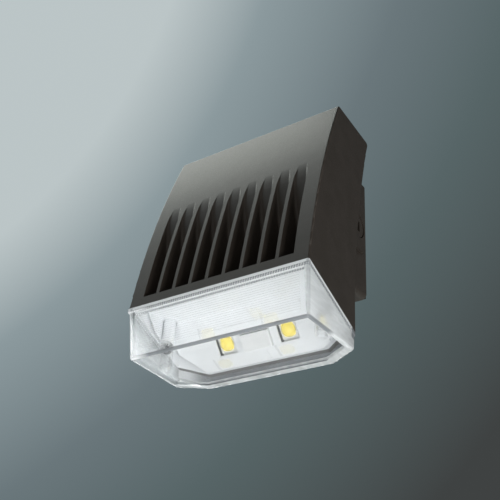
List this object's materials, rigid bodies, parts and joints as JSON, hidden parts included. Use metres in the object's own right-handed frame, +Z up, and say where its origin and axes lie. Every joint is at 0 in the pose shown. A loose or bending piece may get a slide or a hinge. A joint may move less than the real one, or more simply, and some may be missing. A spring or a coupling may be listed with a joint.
{
  "type": "wall pack light",
  "caption": "Wall-mounted outdoor LED light with a finned door, a clear prismatic lens under it and a shallow junction box behind.",
  "frame": {"origin": "centre of the back box's gasket, on the wall", "axes": "+Y into the wall, +Z up, X to the right as one faces the light"},
  "size_m": [0.1462, 0.095, 0.1886],
  "materials": {
    "bronze_coat": "dark bronze powder coat, fine texture",
    "clear_lens": "clear moulded refractor",
    "white_sheet": "white reflector enamel",
    "board_mask": "white solder mask",
    "led_ceramic": "white LED substrate",
    "phosphor": "yellow phosphor",
    "clear_silicone": "clear silicone dome",
    "connector_white": "white moulded",
    "silicone_grey": "silicone",
    "foam_black": "closed-cell foam",
    "thermal_sheet": "gap filler",
    "stainless": "stainless",
    "zinc_sheet": "zinc plated",
    "driver_case": "black moulded",
    "wire_clear": "smoke polycarbonate",
    "green_screw": "green earthing screw",
    "lead_black": "insulation",
    "lead_white": "insulation",
    "lead_green": "insulation",
    "lead_red": "insulation"
  },
  "bodies": {
    "back_box": {"back_box": "bronze_coat", "mounting_plate": "bronze_coat", "plate_screws": "stainless", "wall_gasket": "foam_black", "conduit_plug_left": "bronze_coat", "conduit_plug_right": "bronze_coat", "hinge_pins": "stainless", "hinge_clips": "stainless", "ground_screw": "green_screw"},
    "door": {"door_frame": "bronze_coat", "frame_screws": "stainless", "door_housing": "bronze_coat", "door_gasket": "silicone_grey", "lens": "clear_lens", "lens_gasket": "silicone_grey", "lens_screws": "stainless", "reflector": "white_sheet", "led_board": "board_mask", "thermal_pad": "thermal_sheet", "board_screws": "stainless", "led_packages": "led_ceramic", "led_phosphors": "phosphor", "led_domes": "clear_silicone", "board_connector": "connector_white", "driver": "driver_case", "driver_bracket": "zinc_sheet", "driver_screws": "stainless", "bracket_screws": "stainless", "push_in_connectors": "wire_clear", "input_lead_line": "lead_black", "input_lead_neutral": "lead_white", "input_lead_earth": "lead_green", "output_lead_positive": "lead_red", "output_lead_negative": "lead_black", "lead_grommet": "silicone_grey"},
    "latch_washer": {"latch_washer": "stainless"},
    "latch_screw": {"latch_screw": "stainless"}
  },
  "joints": [
    {"name": "door_hinge", "type": "hinge", "parent": "back_box", "child": "door", "pos_m": [-0.0694, -0.012, 0], "axis": [0, 0, -1], "range_deg": [0, 90]},
    {"name": "latch_turn", "type": "hinge", "parent": "door", "child": "latch_washer", "pos_m": [0.058, -0.0215, 0], "axis": [0, 0, 1], "range_deg": [0, 4115]},
    {"name": "latch_advance", "type": "slide", "parent": "latch_washer", "child": "latch_screw", "axis": [0, 0, 1], "range_m": [0, 0.008]}
  ],
  "couplings": [
    {"joint": "latch_turn", "follows": "latch_advance", "rad_per_m": 8976}
  ]
}
